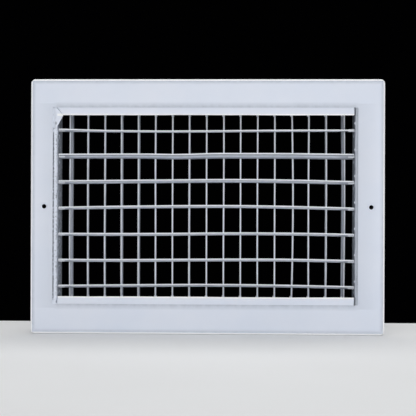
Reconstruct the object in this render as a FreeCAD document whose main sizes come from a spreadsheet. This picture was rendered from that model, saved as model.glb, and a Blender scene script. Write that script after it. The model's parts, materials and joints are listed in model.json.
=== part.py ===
import FreeCAD, Part
import math
import os
import Sketcher

# A louvred air grille of pressed and painted steel: a face plate with a turned-back rim, a core of
# four folded rails behind it, a front row of level blades and a rear row of upright blades. Every
# blade turns by itself on a pin at each end, and a spring strip on each rail keeps it where it is put.
#
# The frame: +X to the right, +Y into the wall, +Z up. The origin is the middle of the line between
# the two screw holes, in the plane of the wall that the rim of the face plate rests on.

doc = FreeCAD.newDocument("louvred_air_grille")
sizes = doc.addObject("Spreadsheet::Sheet", "Sizes")

# Sizes that drive the model, in millimetres and degrees.
DRIVING_SIZES = [
    ("sheet", 0.8),               # thickness of the pressed steel
    ("face_width", 354.0),
    ("face_height", 255.0),
    ("face_depth", 6.0),          # how far the face stands off the wall
    ("face_corner", 4.4),         # radius of the plate's corners
    ("face_edge", 1.0),           # radius of the bend from face to rim
    ("crease_inset", 2.0),        # from the edge of the plate to the crease around it
    ("crease_width", 0.7),
    ("crease_depth", 0.3),
    ("screw_spacing", 327.5),
    ("screw_hole", 2.2),          # radius
    ("dimple_rise", 1.4),         # how far the countersunk dimple spreads beyond the hole
    ("dimple_depth", 1.0),
    ("opening_width", 304.0),     # the cut-out in the face plate
    ("opening_height", 197.0),
    ("core_width", 298.2),        # between the side walls
    ("core_height", 196.6),       # over the top and bottom walls
    ("core_depth", 34.0),         # from the back of the face plate
    ("core_left", 1.5),           # the cut-out sits this far left of the plate's middle
    ("core_up", 0.8),             # and this far above it
    ("flange", 5.5),              # how far the rails lap behind the face plate
    ("strip_height", 7.6),        # the part of the top and bottom rails seen in the opening
    ("rear_lip", 2.6),
    ("strip_gap", 1.1),           # from the end of a strip to the side wall
    ("fold_gap", 0.1),            # between two folded sheets that meet
    ("overcut", 1.0),             # how far a cut reaches past the metal it trims
    ("mitre_run", 5.0),           # sideways run of the slanted joint at the top left corner
    ("ear_drop", 13.0),           # how far the left rail's ear tapers down the wall
    ("tab_height", 6.0),          # end tabs of the top and bottom rails
    ("tab_depth", 12.0),
    ("pin", 1.4),                 # radius
    ("pin_play", 0.06),           # radial
    ("pin_root", 5.0),            # length of the pin along the blade's end
    ("pin_tail", 0.3),            # length that shows beyond the spring strip
    ("end_play", 1.1),            # from a blade's end to the wall
    ("front_count", 7),
    ("front_pitch", 26.3),
    ("front_down", 2.6),          # the row sits this far below the core's middle
    ("front_chord", 17.2),
    ("front_pivot", 5.0),         # depth of the pins from the wall plane
    ("front_nose", 1.3),          # thickness of the folded front edge
    ("front_rib", 1.0),           # depth of the shallow rib pressed along the pin line
    ("front_rib_base", 6.6),      # its width at the sheet
    ("front_rib_crown", 2.0),     # and at its crown
    ("rear_count", 17),
    ("rear_pitch", 17.28),
    ("rear_chord", 13.0),
    ("rear_pivot", 20.9),
    ("rear_nose", 1.6),
    ("rear_rib", 0.6),
    ("rear_rib_base", 4.6),
    ("rear_rib_crown", 1.6),
    ("fold", 2.6),                # depth of the folded front edge
    ("blade_sheet", 0.7),
    ("rib_stop", 10.0),           # the rib ends this far from the blade's end
    ("stop_bump", 2.0),           # radius of the pressed bump under each front pin
    ("bump_rise", 0.8),
    ("bump_drop", 5.6),           # below the pin
    ("bump_depth", 3.6),          # behind the pin
    ("tooth_width", 1.0),         # lanced tooth on the side rim above each front pin
    ("tooth_height", 2.2),
    ("tooth_up", 6.6),
    ("spring_sheet", 0.4),
    ("spring_width", 8.0),
    ("rivet", 1.5),               # radius of the shank
    ("rivet_play", 0.05),
    ("rivet_head", 2.6),          # radius
    ("rivet_head_height", 0.7),
    ("rivet_inset", 3.2),         # from the outside of the core to a corner rivet
]

# How each blade stands: its turn from straight, in degrees. A front blade's turn drops its rear
# edge; a rear blade's turn moves its rear edge to the right.
FRONT_TURNS = [1.2, 15.2, 10.2, 8.5, 9.6, 10.6, 11.5]
REAR_TURNS = [11.0, 0.0, 0.0, 4.2, 4.9, 1.2, 0.5, 4.0, 1.0, 0.5, 1.3, 0.5, 1.5, 1.0, 1.5, 0.5, -8.5]


def fill_sheet():
    """Write the driving sizes and the blades' turns into the sheet, one named cell each."""
    rows = list(DRIVING_SIZES)
    rows += [(f"front_turn_{place}", turn) for place, turn in enumerate(FRONT_TURNS, 1)]
    rows += [(f"rear_turn_{place}", turn) for place, turn in enumerate(REAR_TURNS, 1)]
    for row, (alias, value) in enumerate(rows, 1):
        sizes.set(f"A{row}", alias)
        sizes.set(f"B{row}", str(value))
        sizes.setAlias(f"B{row}", alias)
    doc.recompute()


def size(alias):
    return float(sizes.get(alias))


def bind(thing, path, formula):
    """Tie a property to a formula of sheet cells, each written as $name."""
    thing.setExpression(path, formula.replace("$", "Sizes."))


def new_body(label):
    body = doc.addObject("PartDesign::Body", label)
    body.Label = label
    return body


def origin_feature(body, role):
    return next(part for part in body.Origin.OriginFeatures if part.Role == role)


def new_sketch(body, name, plane):
    sketch = body.newObject("Sketcher::SketchObject", name)
    sketch.AttachmentSupport = [(origin_feature(body, plane), "")]
    sketch.MapMode = "FlatFace"
    return sketch


def constrain(sketch, formula, kind, *where):
    """Add one constraint whose value is a formula of sheet cells."""
    index = sketch.addConstraint(Sketcher.Constraint(kind, *where, 1.0))
    bind(sketch, f"Constraints[{index}]", formula)


def add_outline(sketch, corners):
    """Draw a closed outline. Each corner is a pair of formulas, across and up the sketch's plane."""
    first = sketch.GeometryCount
    count = len(corners)
    start = [FreeCAD.Vector(math.cos(2 * math.pi * n / count), math.sin(2 * math.pi * n / count), 0)
             for n in range(count)]
    for n in range(count):
        sketch.addGeometry(Part.LineSegment(start[n], start[(n + 1) % count]), False)
    for n in range(count):
        sketch.addConstraint(Sketcher.Constraint("Coincident", first + n, 2, first + (n + 1) % count, 1))
    for n, (across, up) in enumerate(corners):
        constrain(sketch, across, "DistanceX", -1, 1, first + n, 1)
        constrain(sketch, up, "DistanceY", -1, 1, first + n, 1)


def add_circle(sketch, across, up, radius):
    """Draw a circle from formulas for its centre and radius."""
    circle = Part.Circle(FreeCAD.Vector(1, 1, 0), FreeCAD.Vector(0, 0, 1), 1.0)
    index = sketch.addGeometry(circle, False)
    constrain(sketch, across, "DistanceX", -1, 1, index, 3)
    constrain(sketch, up, "DistanceY", -1, 1, index, 3)
    constrain(sketch, radius, "Radius", index)


def box_corners(left, right, low, high):
    return [(left, low), (right, low), (right, high), (left, high)]


def pad(body, name, sketch, length, midplane=False, backwards=False):
    feature = body.newObject("PartDesign::Pad", name)
    feature.Profile = sketch
    feature.Midplane = midplane
    feature.Reversed = backwards
    bind(feature, "Length", length)
    return feature


def pocket(body, name, sketch, length, backwards=False):
    """Cut a sketch's outline away to a depth; it fails if the cut takes nothing off."""
    doc.recompute()
    before = body.Shape.Volume
    feature = body.newObject("PartDesign::Pocket", name)
    feature.Profile = sketch
    feature.Reversed = backwards
    bind(feature, "Length", length)
    doc.recompute()
    assert body.Shape.Volume < before - 0.01, f"{name} cuts nothing"
    return feature


def drill(body, name, sketch):
    """Cut a sketch's outline right through, both ways."""
    doc.recompute()
    before = body.Shape.Volume
    feature = body.newObject("PartDesign::Pocket", name)
    feature.Profile = sketch
    feature.Type = "ThroughAll"
    feature.Midplane = True
    doc.recompute()
    assert body.Shape.Volume < before - 0.01, f"{name} cuts nothing"
    return feature


def repeat(body, feature, axis, pitch, count):
    """Repeat a feature in a straight row along one of the body's own axes."""
    row = body.newObject("PartDesign::LinearPattern", feature.Name + "_row")
    row.Originals = [feature]
    row.Direction = (origin_feature(body, axis), [""])
    bind(row, "Length", f"{pitch} * ({count} - 1)")
    bind(row, "Occurrences", count)
    body.Tip = row
    doc.recompute()
    return row


def round_edges(body, name, radius, wanted):
    """Round the edges of the body's tip for which wanted(edge) is true."""
    doc.recompute()
    tip = body.Tip
    names = [f"Edge{n}" for n, edge in enumerate(tip.Shape.Edges, 1) if wanted(edge)]
    assert names, f"{name} finds no edge"
    feature = body.newObject("PartDesign::Fillet", name)
    feature.Base = (tip, names)
    bind(feature, "Radius", radius)
    doc.recompute()
    return feature


def runs_along_depth(edge):
    ends = [vertex.Point for vertex in edge.Vertexes]
    return len(ends) == 2 and abs(ends[0].x - ends[1].x) < 1e-6 and abs(ends[0].z - ends[1].z) < 1e-6


def build_face_plate():
    """The plate: a shallow tray, open to the wall, with the cut-out and two dimpled screw holes."""
    body = new_body("face_plate")

    outline = new_sketch(body, "plate_outline", "XZ_Plane")
    add_outline(outline, box_corners("-$face_width / 2", "$face_width / 2",
                                     "-$face_height / 2", "$face_height / 2"))
    pad(body, "plate", outline, "$face_depth")
    round_edges(body, "plate_corners", "$face_corner", runs_along_depth)

    front = -size("face_depth")
    round_edges(body, "plate_bend", "$face_edge",
                lambda edge: all(abs(vertex.Point.y - front) < 1e-6 for vertex in edge.Vertexes))

    hollow_out(body)

    opening = new_sketch(body, "opening_outline", "XZ_Plane")
    add_outline(opening, box_corners("-$core_left - $opening_width / 2", "-$core_left + $opening_width / 2",
                                     "$core_up - $opening_height / 2", "$core_up + $opening_height / 2"))
    drill(body, "opening", opening)

    add_crease(body)
    for side, name in ((-1, "left"), (1, "right")):
        add_dimple(body, side, name)
    holes = new_sketch(body, "screw_hole_circles", "XZ_Plane")
    for side in (-1, 1):
        add_circle(holes, f"{side} * $screw_spacing / 2", "0", "$screw_hole")
    drill(body, "screw_holes", holes)
    return body


def hollow_out(body):
    """Leave only the thickness of the sheet, open on the side of the wall."""
    solid = body.Tip
    back = next(f"Face{n}" for n, face in enumerate(solid.Shape.Faces, 1)
                if face.BoundBox.YMin > -1e-6)
    before = solid.Shape.Volume
    shell = body.newObject("PartDesign::Thickness", "plate_sheet")
    shell.Base = (solid, [back])
    shell.Reversed = True
    bind(shell, "Value", "$sheet")
    doc.recompute()
    assert shell.Shape.Volume < before / 2, "the plate isn't hollow"


def add_crease(body):
    """A fine groove all round the face, just inside its edge."""
    crease = new_sketch(body, "crease_outline", "XZ_Plane")
    for inset in ("$crease_inset", "($crease_inset + $crease_width)"):
        add_outline(crease, box_corners(f"-$face_width / 2 + {inset}", f"$face_width / 2 - {inset}",
                                        f"-$face_height / 2 + {inset}", f"$face_height / 2 - {inset}"))
    bind(crease, "AttachmentOffset.Base.z", "$face_depth")
    pocket(body, "crease", crease, "$crease_depth")


def add_dimple(body, side, name):
    """A cone pressed backwards around a screw hole, so that a countersunk head sits flush."""
    back = body.newObject("PartDesign::AdditiveCone", f"{name}_dimple_back")
    front = body.newObject("PartDesign::SubtractiveCone", f"{name}_dimple_front")
    for cone in (back, front):
        cone.AttachmentSupport = [(origin_feature(body, "XZ_Plane"), "")]
        cone.MapMode = "FlatFace"
        bind(cone, "AttachmentOffset.Base.x", f"{side} * $screw_spacing / 2")
        bind(cone, "Height", "$dimple_depth")
    bind(back, "AttachmentOffset.Base.z", "$face_depth - $sheet - $dimple_depth")
    bind(back, "Radius1", "$screw_hole + $sheet")
    bind(back, "Radius2", "$screw_hole + $sheet + $dimple_rise")
    bind(front, "AttachmentOffset.Base.z", "$face_depth - $dimple_depth")
    bind(front, "Radius1", "$screw_hole")
    bind(front, "Radius2", "$screw_hole + $dimple_rise")
    doc.recompute()


def build_level_rail(label, side):
    """The top rail (side 1) or bottom rail (side -1), one folded sheet along X.

    From its edge behind the face plate the sheet runs to the free edge of the strip seen in the
    opening, folds back on itself, runs back along the duct as a wall and ends in a short lip.
    """
    body = new_body(label)
    face = "(-$face_depth + $sheet)"
    wall = "$core_height / 2"
    free = "($opening_height / 2 - $strip_height)"
    section = new_sketch(body, label + "_section", "YZ_Plane")
    corners = [
        (face, f"{side} * ($opening_height / 2 + $flange)"),
        (face, f"{side} * {free}"),
        (f"{face} + 2 * $sheet", f"{side} * {free}"),
        (f"{face} + 2 * $sheet", f"{side} * ({wall} - $sheet)"),
        (f"{face} + $core_depth - $sheet", f"{side} * ({wall} - $sheet)"),
        (f"{face} + $core_depth - $sheet", f"{side} * ({wall} - $sheet - $rear_lip)"),
        (f"{face} + $core_depth", f"{side} * ({wall} - $sheet - $rear_lip)"),
        (f"{face} + $core_depth", f"{side} * {wall}"),
        (f"{face} + $sheet", f"{side} * {wall}"),
        (f"{face} + $sheet", f"{side} * ($opening_height / 2 + $flange)"),
    ]
    add_outline(section, corners)
    pad(body, label + "_fold", section, "$core_width", midplane=True)
    add_end_tabs(body, label, side)
    cut_strip_ends(body, label, side)
    cut_lip_ends(body, label, side)

    pin_hole = new_sketch(body, label + "_pin_hole", "XY_Plane")
    add_circle(pin_hole, "-$rear_pitch * ($rear_count - 1) / 2", "$rear_pivot", "$pin + $pin_play")
    repeat(body, drill(body, label + "_pin_bore", pin_hole), "X_Axis", "$rear_pitch", "$rear_count")

    rivet_holes = new_sketch(body, label + "_rivet_holes", "YZ_Plane")
    add_circle(rivet_holes, "$front_pivot", f"{side} * ($core_height / 2 - $rivet_inset)",
               "$rivet + $rivet_play")
    drill(body, label + "_corner_bores", rivet_holes)
    strip_holes = new_sketch(body, label + "_strip_holes", "XY_Plane")
    for end in (-1, 1):
        add_circle(strip_holes, f"{end} * ($core_width / 2 - $rivet_inset)", "$rear_pivot",
                   "$rivet + $rivet_play")
    drill(body, label + "_strip_bores", strip_holes)
    return body


def add_end_tabs(body, label, side):
    """Two tabs bent down from the ends of the wall, riveted to the side rails."""
    for end, name in ((-1, "left"), (1, "right")):
        tab = new_sketch(body, f"{label}_{name}_tab_outline", "YZ_Plane")
        bind(tab, "AttachmentOffset.Base.z", f"{end} * ($core_width / 2 - $sheet / 2)")
        add_outline(tab, box_corners("$front_pivot - $tab_depth / 2", "$front_pivot + $tab_depth / 2",
                                     f"{side} * ($core_height / 2 - $sheet - $tab_height)",
                                     f"{side} * ($core_height / 2 - $sheet / 2)"))
        pad(body, f"{label}_{name}_tab", tab, "$sheet", midplane=True)


def cut_strip_ends(body, label, side):
    """Trim the strip clear of the side walls, with a slanted joint at the top left corner."""
    slant = "$mitre_run" if side > 0 else "0"
    low = "($opening_height / 2 - $strip_height - $overcut)"
    high = "($opening_height / 2 + $flange + $overcut)"
    ends = new_sketch(body, label + "_end_cuts", "XZ_Plane")
    bind(ends, "AttachmentOffset.Base.z", "$face_depth")
    add_outline(ends, [("-$core_width / 2 - $overcut", f"{side} * {low}"),
                       (f"-$core_width / 2 + $strip_gap + {slant}", f"{side} * {low}"),
                       ("-$core_width / 2 + $strip_gap / 4", f"{side} * $opening_height / 2"),
                       ("-$core_width / 2 + $strip_gap / 4", f"{side} * {high}"),
                       ("-$core_width / 2 - $overcut", f"{side} * {high}")])
    add_outline(ends, box_corners("$core_width / 2 - $strip_gap", "$core_width / 2 + $overcut",
                                  f"{side} * {low}", f"{side} * {high}"))
    pocket(body, label + "_trim", ends, "3 * $sheet")


def cut_lip_ends(body, label, side):
    """Shorten the rear lip at both ends, clear of the side rails and their blades."""
    notches = new_sketch(body, label + "_lip_notches", "XZ_Plane")
    bind(notches, "AttachmentOffset.Base.z", "$face_depth - $sheet - $core_depth")
    for end in (-1, 1):
        add_outline(notches, box_corners(f"{end} * ($core_width / 2 - $rear_lip - 2 * $fold_gap)",
                                         f"{end} * ($core_width / 2 + $overcut)",
                                         f"{side} * ($core_height / 2 - $sheet - $rear_lip - $overcut)",
                                         f"{side} * ($core_height / 2 - $sheet)"))
    pocket(body, label + "_lip_trim", notches, "$sheet", backwards=True)


def build_side_rail(label, side):
    """The left rail (side -1) or right rail (side 1): a wall and a taller flange, folded along Z."""
    body = new_body(label)
    face = "(-$face_depth + $sheet)"
    inner = f"{side} * $core_width / 2"
    outer = f"{side} * ($core_width / 2 + $sheet)"
    wall = new_sketch(body, label + "_wall_section", "XY_Plane")
    add_outline(wall, box_corners(inner, outer, face, f"{face} + $core_depth"))
    pad(body, label + "_wall", wall, "$core_height", midplane=True)
    flange = new_sketch(body, label + "_flange_section", "XY_Plane")
    edge = f"{side} * ($opening_width / 2 + $flange)"
    add_outline(flange, box_corners(inner, edge, face, f"{face} + $sheet"))
    pad(body, label + "_flange", flange, "$opening_height + 2 * $flange", midplane=True)
    if side < 0:
        add_corner_ear(body)

    pivot_low = "(-$front_down - $front_pitch * ($front_count - 1) / 2)"
    add_stop_bumps(body, label, side, pivot_low)
    add_rim_teeth(body, label, side, pivot_low)
    pin_hole = new_sketch(body, label + "_pin_hole", "YZ_Plane")
    add_circle(pin_hole, "$front_pivot", pivot_low, "$pin + $pin_play")
    repeat(body, drill(body, label + "_pin_bore", pin_hole), "Z_Axis", "$front_pitch", "$front_count")

    rivet_holes = new_sketch(body, label + "_rivet_holes", "YZ_Plane")
    for end in (-1, 1):
        add_circle(rivet_holes, "$front_pivot", f"{end} * ($core_height / 2 - $rivet_inset)",
                   "$rivet + $rivet_play")
    drill(body, label + "_rivet_bores", rivet_holes)
    return body


def add_corner_ear(body):
    """The left rail's flange widens to meet the slanted end of the top strip."""
    top = "($core_height / 2 - $sheet - $fold_gap)"
    tip = "-$core_width / 2 + $mitre_run - $strip_gap / 2"
    strip_edge = "($opening_height / 2 - $strip_height)"
    ear = new_sketch(body, "ear_outline", "XZ_Plane")
    bind(ear, "AttachmentOffset.Base.z", "$face_depth - $sheet")
    add_outline(ear, [("-$core_width / 2 - $sheet", f"{strip_edge} - $ear_drop"),
                      ("-$core_width / 2", f"{strip_edge} - $ear_drop"),
                      (tip, f"{strip_edge} - $sheet"),
                      (tip, strip_edge),
                      ("-$core_width / 2 + $fold_gap", top),
                      ("-$core_width / 2 - $sheet", top)])
    pad(body, "ear", ear, "$sheet", backwards=True)


def add_stop_bumps(body, label, side, pivot_low):
    """A small cone pressed inwards just below and behind each pin."""
    bump = body.newObject("PartDesign::AdditiveCone", label + "_bump")
    bump.AttachmentSupport = [(origin_feature(body, "YZ_Plane"), "")]
    bump.MapMode = "FlatFace"
    bind(bump, "AttachmentOffset.Base.x", "$front_pivot + $bump_depth")
    bind(bump, "AttachmentOffset.Base.y", f"{pivot_low} - $bump_drop")
    if side < 0:
        bind(bump, "AttachmentOffset.Base.z", "-$core_width / 2 - $sheet / 2")
        bind(bump, "Radius1", "$stop_bump")
        bind(bump, "Radius2", "$stop_bump / 2")
    else:
        bind(bump, "AttachmentOffset.Base.z", "$core_width / 2 - $bump_rise")
        bind(bump, "Radius1", "$stop_bump / 2")
        bind(bump, "Radius2", "$stop_bump")
    bind(bump, "Height", "$bump_rise + $sheet / 2")
    doc.recompute()
    repeat(body, bump, "Z_Axis", "$front_pitch", "$front_count")


def add_rim_teeth(body, label, side, pivot_low):
    """A lanced tooth on the rim of the wall above each pin."""
    tooth = new_sketch(body, label + "_tooth_outline", "XZ_Plane")
    bind(tooth, "AttachmentOffset.Base.z", "$face_depth - $sheet")
    middle = f"({pivot_low} + $tooth_up)"
    wall = f"{side} * ($core_width / 2 + $sheet / 2)"
    tip = f"{side} * ($core_width / 2 - $tooth_width)"
    add_outline(tooth, [(wall, f"{middle} - $tooth_height"), (tip, f"{middle} - $tooth_height / 4"),
                        (tip, f"{middle} + $tooth_height / 4"), (wall, f"{middle} + $tooth_height")])
    feature = pad(body, label + "_tooth", tooth, "$sheet", backwards=True)
    doc.recompute()
    repeat(body, feature, "Z_Axis", "$front_pitch", "$front_count")


def build_blade(label, row, full_length):
    """One blade along X with its pins on the X axis, its chord along Y and its rib below.

    The sheet is folded under along its front edge. A shallow rib stiffens it along the pin line and
    stops short of both ends, where the pins leave the flat sheet.
    """
    body = new_body(label)
    length = f"({full_length} - 2 * $end_play)"
    half = f"(${row}_chord / 2)"
    top = "($blade_sheet / 2)"
    under = "(-$blade_sheet / 2)"

    section = new_sketch(body, label + "_section", "YZ_Plane")
    add_outline(section, [(f"-{half}", top),
                          (half, top),
                          (half, under),
                          (f"-{half} + $fold", under),
                          (f"-{half} + $fold", f"{top} - ${row}_nose"),
                          (f"-{half}", f"{top} - ${row}_nose")])
    pad(body, label + "_sheet", section, length, midplane=True)

    base, crown = f"(${row}_rib_base / 2)", f"(${row}_rib_crown / 2)"
    rib = new_sketch(body, label + "_rib_section", "YZ_Plane")
    add_outline(rib, [(f"-{base}", "0"), (f"-{base}", under),
                      (f"-{crown}", f"{under} - ${row}_rib"), (crown, f"{under} - ${row}_rib"),
                      (base, under), (base, "0")])
    pad(body, label + "_rib", rib, f"{length} - 2 * $rib_stop", midplane=True)

    reach = "($pin_root + $end_play + $sheet + $spring_sheet + $pin_tail)"
    starts = {"left": f"-{length} / 2 + $pin_root - {reach}", "right": f"{length} / 2 - $pin_root"}
    for name, start in starts.items():
        pin = body.newObject("PartDesign::AdditiveCylinder", f"{label}_{name}_pin")
        pin.AttachmentSupport = [(origin_feature(body, "YZ_Plane"), "")]
        pin.MapMode = "FlatFace"
        bind(pin, "AttachmentOffset.Base.z", start)
        bind(pin, "Radius", "$pin")
        bind(pin, "Height", reach)
    return body


def build_front_blade(place):
    """A level blade, counted from the top."""
    body = build_blade(f"front_blade_{place}", "front", "$core_width")
    from_middle = (size("front_count") + 1) / 2 - place
    pivot = FreeCAD.Vector(0, size("front_pivot"), from_middle * size("front_pitch") - size("front_down"))
    turn = FreeCAD.Rotation(FreeCAD.Vector(1, 0, 0), -size(f"front_turn_{place}"))
    body.Placement = FreeCAD.Placement(core_middle() + pivot, turn)
    return body


def build_rear_blade(place):
    """An upright blade, counted from the left, with its rib on the right."""
    body = build_blade(f"rear_blade_{place:02d}", "rear", "($core_height - 2 * $sheet)")
    from_middle = place - (size("rear_count") + 1) / 2
    pivot = FreeCAD.Vector(from_middle * size("rear_pitch"), size("rear_pivot"), 0)
    upright = FreeCAD.Rotation(FreeCAD.Vector(0, 1, 0), -90)
    turn = FreeCAD.Rotation(FreeCAD.Vector(0, 0, 1), -size(f"rear_turn_{place}"))
    body.Placement = FreeCAD.Placement(core_middle() + pivot, turn.multiply(upright))
    return body


def build_side_spring(label, side):
    """The spring strip outside a side rail, which grips the pins of the front blades."""
    body = new_body(label)
    outline = new_sketch(body, label + "_outline", "YZ_Plane")
    bind(outline, "AttachmentOffset.Base.z", f"{side} * ($core_width / 2 + $sheet)")
    add_outline(outline, box_corners("$front_pivot - $spring_width / 2", "$front_pivot + $spring_width / 2",
                                     "-$core_height / 2 + $sheet", "$core_height / 2 - $sheet"))
    pad(body, label + "_sheet", outline, "$spring_sheet", backwards=side < 0)
    pin_hole = new_sketch(body, label + "_pin_hole", "YZ_Plane")
    add_circle(pin_hole, "$front_pivot", "-$front_down - $front_pitch * ($front_count - 1) / 2",
               "$pin + $pin_play")
    repeat(body, drill(body, label + "_pin_bore", pin_hole), "Z_Axis", "$front_pitch", "$front_count")
    rivet_holes = new_sketch(body, label + "_rivet_holes", "YZ_Plane")
    for end in (-1, 1):
        add_circle(rivet_holes, "$front_pivot", f"{end} * ($core_height / 2 - $rivet_inset)",
                   "$rivet + $rivet_play")
    drill(body, label + "_rivet_bores", rivet_holes)
    return body


def build_level_spring(label, side):
    """The spring strip outside the top or bottom rail, which grips the pins of the rear blades."""
    body = new_body(label)
    outline = new_sketch(body, label + "_outline", "XY_Plane")
    bind(outline, "AttachmentOffset.Base.z", f"{side} * $core_height / 2")
    add_outline(outline, box_corners("-$core_width / 2 + $sheet / 2", "$core_width / 2 - $sheet / 2",
                                     "$rear_pivot - $spring_width / 2", "$rear_pivot + $spring_width / 2"))
    pad(body, label + "_sheet", outline, "$spring_sheet", backwards=side < 0)
    pin_hole = new_sketch(body, label + "_pin_hole", "XY_Plane")
    add_circle(pin_hole, "-$rear_pitch * ($rear_count - 1) / 2", "$rear_pivot", "$pin + $pin_play")
    repeat(body, drill(body, label + "_pin_bore", pin_hole), "X_Axis", "$rear_pitch", "$rear_count")
    rivet_holes = new_sketch(body, label + "_rivet_holes", "XY_Plane")
    for end in (-1, 1):
        add_circle(rivet_holes, f"{end} * ($core_width / 2 - $rivet_inset)", "$rear_pivot",
                   "$rivet + $rivet_play")
    drill(body, label + "_rivet_bores", rivet_holes)
    return body


def add_rivet(label, grip, placement):
    """A rivet along Z: its outer head below zero, its shank up through the grip, its tail above."""
    head = doc.addObject("Part::Cylinder", label + "_head")
    shank = doc.addObject("Part::Cylinder", label + "_shank")
    tail = doc.addObject("Part::Cylinder", label + "_tail")
    bind(head, "Radius", "$rivet_head")
    bind(shank, "Radius", "$rivet")
    bind(tail, "Radius", "$rivet_head - $rivet_head_height / 2")
    for end in (head, tail):
        bind(end, "Height", "$rivet_head_height")
    bind(shank, "Height", grip)
    bind(head, "Placement.Base.z", "-$rivet_head_height")
    bind(tail, "Placement.Base.z", grip)
    rivet = doc.addObject("Part::MultiFuse", label)
    rivet.Shapes = [head, shank, tail]
    rivet.Placement = placement
    return rivet


def add_rivet_group(label, rivets):
    group = doc.addObject("Part::Compound", label)
    group.Label = label
    group.Links = rivets
    return group


def build_corner_rivets():
    """Four rivets that hold the spring strip, the side rail and the end tab together."""
    rivets = []
    for side in (-1, 1):
        for end in (-1, 1):
            across = side * (size("core_width") / 2 + size("sheet") + size("spring_sheet"))
            up = end * (size("core_height") / 2 - size("rivet_inset"))
            place = core_middle() + FreeCAD.Vector(across, size("front_pivot"), up)
            inwards = FreeCAD.Rotation(FreeCAD.Vector(0, 0, 1), FreeCAD.Vector(-side, 0, 0))
            rivets.append(add_rivet(f"corner_rivet_{len(rivets) + 1}", "2 * $sheet + $spring_sheet",
                                    FreeCAD.Placement(place, inwards)))
    return add_rivet_group("corner_rivets", rivets)


def build_spring_rivets():
    """Four rivets that hold the level spring strips to the top and bottom rails."""
    rivets = []
    for side in (-1, 1):
        for end in (-1, 1):
            across = end * (size("core_width") / 2 - size("rivet_inset"))
            up = side * (size("core_height") / 2 + size("spring_sheet"))
            place = core_middle() + FreeCAD.Vector(across, size("rear_pivot"), up)
            inwards = FreeCAD.Rotation(FreeCAD.Vector(0, 0, 1), FreeCAD.Vector(0, 0, -side))
            rivets.append(add_rivet(f"spring_rivet_{len(rivets) + 1}", "$sheet + $spring_sheet",
                                    FreeCAD.Placement(place, inwards)))
    return add_rivet_group("spring_rivets", rivets)


def core_middle():
    return FreeCAD.Vector(-size("core_left"), 0, size("core_up"))


def build_core():
    """The four rails and their spring strips, placed behind the cut-out."""
    pieces = [
        build_level_rail("top_rail", 1),
        build_level_rail("bottom_rail", -1),
        build_side_rail("left_rail", -1),
        build_side_rail("right_rail", 1),
        build_level_spring("top_spring_strip", 1),
        build_level_spring("bottom_spring_strip", -1),
        build_side_spring("left_spring_strip", -1),
        build_side_spring("right_spring_strip", 1),
    ]
    for piece in pieces:
        piece.Placement = FreeCAD.Placement(core_middle(), FreeCAD.Rotation())
    return pieces


def check_document(pieces):
    """Stop if any object failed to compute or any piece isn't a sound solid."""
    for thing in doc.Objects:
        assert "Invalid" not in thing.State and "Error" not in thing.State, f"{thing.Name}: {thing.State}"
    for piece in pieces:
        assert not piece.Shape.isNull() and piece.Shape.isValid(), f"{piece.Label} isn't a valid shape"
        assert piece.Shape.Solids, f"{piece.Label} holds no solid"


fill_sheet()
PIECES = [build_face_plate()]
PIECES += build_core()
PIECES += [build_corner_rivets(), build_spring_rivets()]
PIECES += [build_front_blade(place) for place in range(1, int(size("front_count")) + 1)]
PIECES += [build_rear_blade(place) for place in range(1, int(size("rear_count")) + 1)]
doc.recompute()
check_document(PIECES)
os.makedirs("parts", exist_ok=True)
for piece in PIECES:
    piece.Shape.exportStep(f"parts/{piece.Label}.step")
    bounds = piece.Shape.BoundBox
    print(f"{piece.Label:22s} solids {len(piece.Shape.Solids)}  volume {piece.Shape.Volume:10.1f}  "
          f"x {bounds.XMin:7.1f} {bounds.XMax:7.1f}  y {bounds.YMin:5.1f} {bounds.YMax:5.1f}  "
          f"z {bounds.ZMin:7.1f} {bounds.ZMax:7.1f}")
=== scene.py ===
"""A louvred air grille of painted pressed steel.

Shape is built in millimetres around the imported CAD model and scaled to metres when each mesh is
made. The axes are the CAD's: X to the right, Y into the wall, Z up, with the wall plane at Y = 0.
"""

import json
import math
import random

import bmesh
import bpy
from mathutils import Matrix, Vector


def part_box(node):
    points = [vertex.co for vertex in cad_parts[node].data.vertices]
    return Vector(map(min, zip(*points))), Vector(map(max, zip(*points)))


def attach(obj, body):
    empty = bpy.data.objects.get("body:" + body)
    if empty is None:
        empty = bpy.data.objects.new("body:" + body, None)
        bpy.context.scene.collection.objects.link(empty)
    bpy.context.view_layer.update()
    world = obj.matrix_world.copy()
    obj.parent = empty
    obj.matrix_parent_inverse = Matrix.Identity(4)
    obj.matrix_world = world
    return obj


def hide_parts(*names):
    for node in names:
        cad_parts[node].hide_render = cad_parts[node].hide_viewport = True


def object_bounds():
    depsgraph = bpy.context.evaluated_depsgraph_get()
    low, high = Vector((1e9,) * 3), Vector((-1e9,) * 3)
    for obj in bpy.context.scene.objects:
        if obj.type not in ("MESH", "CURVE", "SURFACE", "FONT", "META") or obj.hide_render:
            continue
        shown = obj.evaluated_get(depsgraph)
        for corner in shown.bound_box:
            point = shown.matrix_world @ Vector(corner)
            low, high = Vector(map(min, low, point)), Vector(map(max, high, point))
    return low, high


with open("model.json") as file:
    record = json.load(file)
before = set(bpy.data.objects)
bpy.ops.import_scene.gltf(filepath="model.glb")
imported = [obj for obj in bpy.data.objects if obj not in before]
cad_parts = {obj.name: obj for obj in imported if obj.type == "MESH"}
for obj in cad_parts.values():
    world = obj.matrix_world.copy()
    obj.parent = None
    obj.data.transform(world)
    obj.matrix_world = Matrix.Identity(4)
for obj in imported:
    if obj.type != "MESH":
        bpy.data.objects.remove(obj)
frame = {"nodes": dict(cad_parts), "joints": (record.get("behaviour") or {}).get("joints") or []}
cad_low, cad_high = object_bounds()

MM = 0.001

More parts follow.
